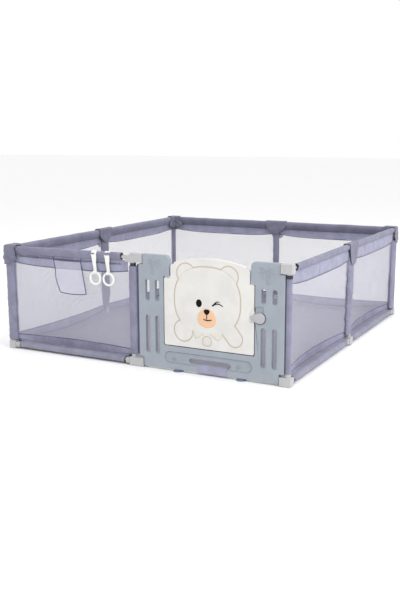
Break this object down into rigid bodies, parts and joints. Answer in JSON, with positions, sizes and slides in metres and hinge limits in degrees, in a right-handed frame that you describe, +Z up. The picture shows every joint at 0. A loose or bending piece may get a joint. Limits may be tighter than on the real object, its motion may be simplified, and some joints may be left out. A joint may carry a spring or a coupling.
{
  "type": "playpen with gate",
  "caption": "Rectangular fabric and mesh playpen on a plugged tube frame, with a moulded gate panel, an arched swinging door, a turning latch and hanging pull rings.",
  "frame": {"origin": "on the floor, at the centre of the plan between the corner posts", "axes": "+X along the front from the plain bay to the gate, +Y from the front to the back, +Z up"},
  "size_m": [1.858, 2.0498, 0.647],
  "materials": {
    "tube_steel": "bright zinc-plated tube",
    "pin_steel": "plain pin",
    "connector_plastic": "fine-textured moulding",
    "pen_fabric": "plain-woven polyester, lavender grey",
    "floor_fabric": "coated plain weave",
    "wall_mesh": "open tricot mesh",
    "pocket_mesh": "open mesh with bound edges",
    "gate_plastic": "satin blue-grey moulding",
    "door_plastic": "satin cream moulding",
    "knob_plastic": "satin light grey",
    "ring_plastic": "smooth white",
    "strap_webbing": "flat white webbing",
    "zip_dark": "moulded zip",
    "foot_rubber": "soft vinyl cup"
  },
  "bodies": {
    "root": {"bottom_elbow_back_left": "connector_plastic", "bottom_elbow_back_right": "connector_plastic", "bottom_elbow_front_left": "connector_plastic", "bottom_gate_tee_front_right": "connector_plastic", "bottom_gate_tee_gate_side": "connector_plastic", "bottom_middle_tees": "connector_plastic", "bottom_rail_back": "tube_steel", "bottom_rail_front": "tube_steel", "bottom_rail_left": "tube_steel", "bottom_rail_right": "tube_steel", "corner_covers": "pen_fabric", "floor_sheet": "floor_fabric", "floor_tie": "pen_fabric", "gate_frame": "gate_plastic", "hinge_pin_lower": "pin_steel", "hinge_pin_upper": "pin_steel", "mesh_pocket": "pocket_mesh", "mesh_wall_back": "wall_mesh", "mesh_wall_front": "wall_mesh", "mesh_wall_left": "wall_mesh", "mesh_wall_right": "wall_mesh", "middle_covers": "pen_fabric", "post_back_left": "tube_steel", "post_back_right": "tube_steel", "post_front_left": "tube_steel", "post_front_right": "tube_steel", "post_gate_side": "tube_steel", "post_middle_back": "tube_steel", "post_middle_left": "tube_steel", "post_middle_right": "tube_steel", "post_sleeves": "pen_fabric", "skirt_back": "pen_fabric", "skirt_front": "pen_fabric", "skirt_left": "pen_fabric", "skirt_right": "pen_fabric", "suction_feet": "foot_rubber", "top_elbow_back_left": "connector_plastic", "top_elbow_back_right": "connector_plastic", "top_elbow_front_left": "connector_plastic", "top_gate_tee_front_right": "connector_plastic", "top_gate_tee_gate_side": "connector_plastic", "top_middle_tees": "connector_plastic", "top_rail_back": "tube_steel", "top_rail_front": "tube_steel", "top_rail_left": "tube_steel", "top_rail_right": "tube_steel", "top_sleeve_back": "pen_fabric", "top_sleeve_front": "pen_fabric", "top_sleeve_left": "pen_fabric", "top_sleeve_right": "pen_fabric", "zip_tape": "zip_dark"},
    "door": {"gate_door": "door_plastic"},
    "latch": {"latch_knob": "knob_plastic", "latch_shaft": "knob_plastic"},
    "strap_left": {"pull_strap_left": "strap_webbing"},
    "strap_right": {"pull_strap_right": "strap_webbing"},
    "ring_left": {"pull_ring_left": "ring_plastic"},
    "ring_right": {"pull_ring_right": "ring_plastic"},
    "slider": {"zip_slider": "zip_dark"}
  },
  "joints": [
    {"name": "door_hinge", "type": "hinge", "parent": "root", "child": "door", "pos_m": [0.191, -1.0015, 0.336], "axis": [0, 0, 1], "range_deg": [0, 95]},
    {"name": "latch_turn", "type": "hinge", "parent": "root", "child": "latch", "pos_m": [0.751, -1, 0.351], "axis": [0, 1, 0], "range_deg": [0, 90]},
    {"name": "zip_slide", "type": "slide", "parent": "root", "child": "slider", "axis": [1, 0, 0], "range_m": [-0.09, 0.56]},
    {"name": "strap_left_swing", "type": "hinge", "parent": "root", "child": "strap_left", "pos_m": [-0.284, -1, 0.62], "axis": [-1, 0, 0], "range_deg": [0, 75]},
    {"name": "ring_left_swing", "type": "hinge", "parent": "strap_left", "child": "ring_left", "pos_m": [-0.284, -1.0176, 0.52], "axis": [-1, 0, 0], "range_deg": [0, 75]},
    {"name": "strap_right_swing", "type": "hinge", "parent": "root", "child": "strap_right", "pos_m": [-0.194, -1, 0.62], "axis": [-1, 0, 0], "range_deg": [0, 75]},
    {"name": "ring_right_swing", "type": "hinge", "parent": "strap_right", "child": "ring_right", "pos_m": [-0.194, -1.0176, 0.52], "axis": [-1, 0, 0], "range_deg": [0, 75]}
  ]
}
